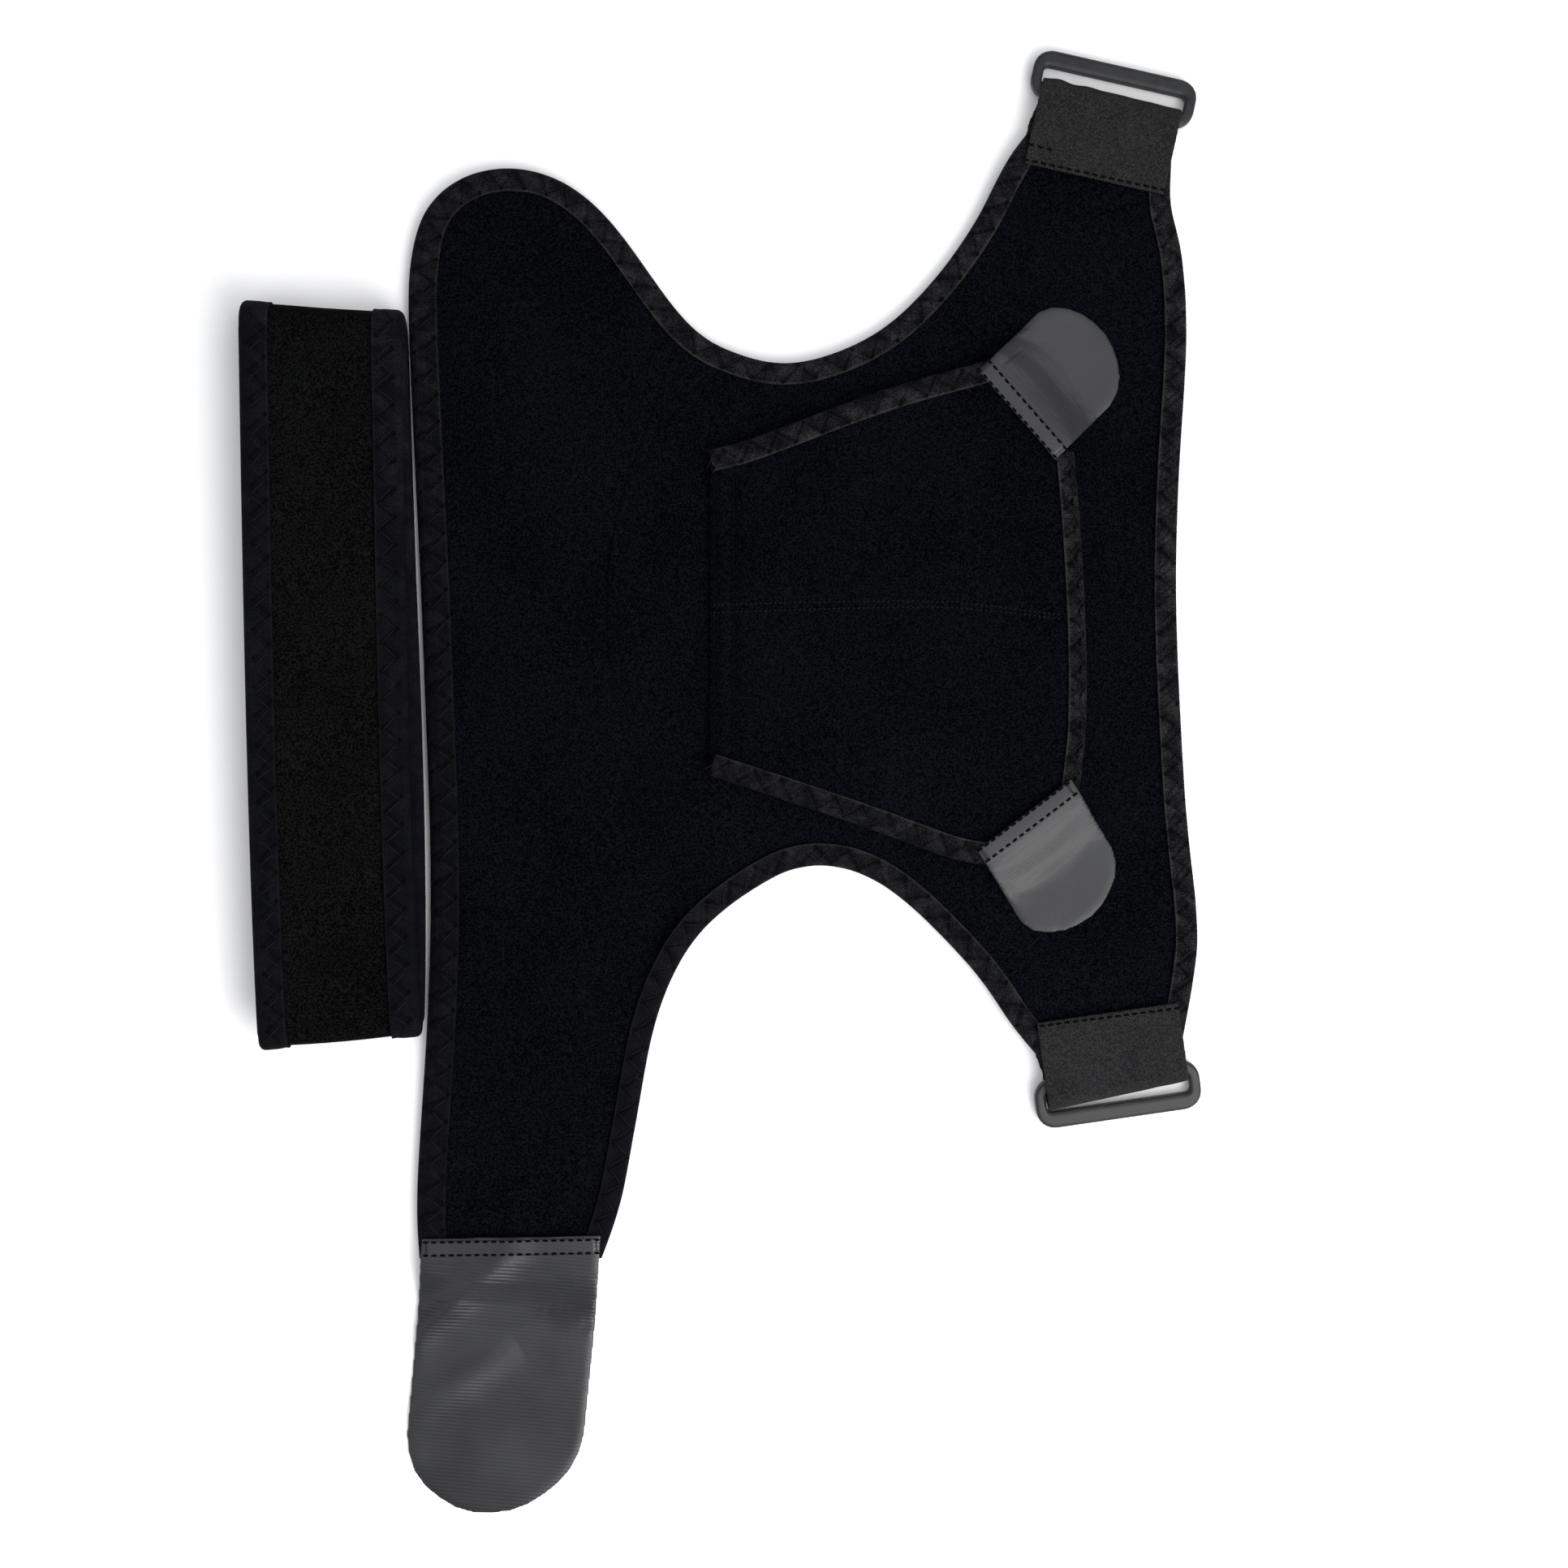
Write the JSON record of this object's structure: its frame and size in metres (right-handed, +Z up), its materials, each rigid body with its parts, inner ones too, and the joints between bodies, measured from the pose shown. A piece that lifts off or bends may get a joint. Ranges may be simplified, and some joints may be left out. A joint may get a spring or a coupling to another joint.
{
  "type": "shoulder brace",
  "caption": "Padded wrap brace for one shoulder, laid flat, with bound edges, a chest flap with hook tabs, a cuff hook tab, webbing loops with rings and a folded chest strap.",
  "frame": {"origin": "on the floor, under the middle of the whole thing", "axes": "+X towards the chest edge, +Y towards the shoulder lobe, +Z up from the outer face"},
  "size_m": [0.336, 0.5154, 0.0196],
  "materials": {
    "knit": "matt loop knit over foam",
    "edge_tape": "matt woven tape, zigzag stitched",
    "hook_tab": "satin, fine ribs on the back",
    "webbing": "matt woven webbing",
    "ring": "moulded, slightly glossy"
  },
  "bodies": {
    "brace": {"arm_cuff_panel": "knit", "shoulder_panel": "knit", "chest_panel": "knit", "binding_cuff_and_neck": "edge_tape", "binding_chest_edge": "edge_tape", "binding_armpit": "edge_tape", "flap_panel": "knit", "flap_binding_top": "edge_tape", "flap_binding_side": "edge_tape", "flap_binding_bottom": "edge_tape", "flap_hook_tab_upper": "hook_tab", "flap_hook_tab_lower": "hook_tab", "cuff_hook_tab": "hook_tab", "webbing_loop_upper": "webbing", "webbing_loop_lower": "webbing", "chest_strap_band": "knit", "chest_strap_binding_left": "edge_tape", "chest_strap_binding_right": "edge_tape", "strap_hook_end_first": "hook_tab", "strap_hook_end_last": "hook_tab"},
    "ring_upper": {"ring_upper": "ring"},
    "ring_lower": {"ring_lower": "ring"}
  },
  "joints": [
    {"name": "ring_upper_pivot", "type": "hinge", "parent": "brace", "child": "ring_upper", "pos_m": [0.13576, 0.23761, 0.0044], "axis": [0.9751, -0.2215, 0], "range_deg": [0, 140]},
    {"name": "ring_lower_pivot", "type": "hinge", "parent": "brace", "child": "ring_lower", "pos_m": [0.13777, -0.10303, 0.0044], "axis": [-0.9898, -0.1426, 0], "range_deg": [0, 140]}
  ]
}
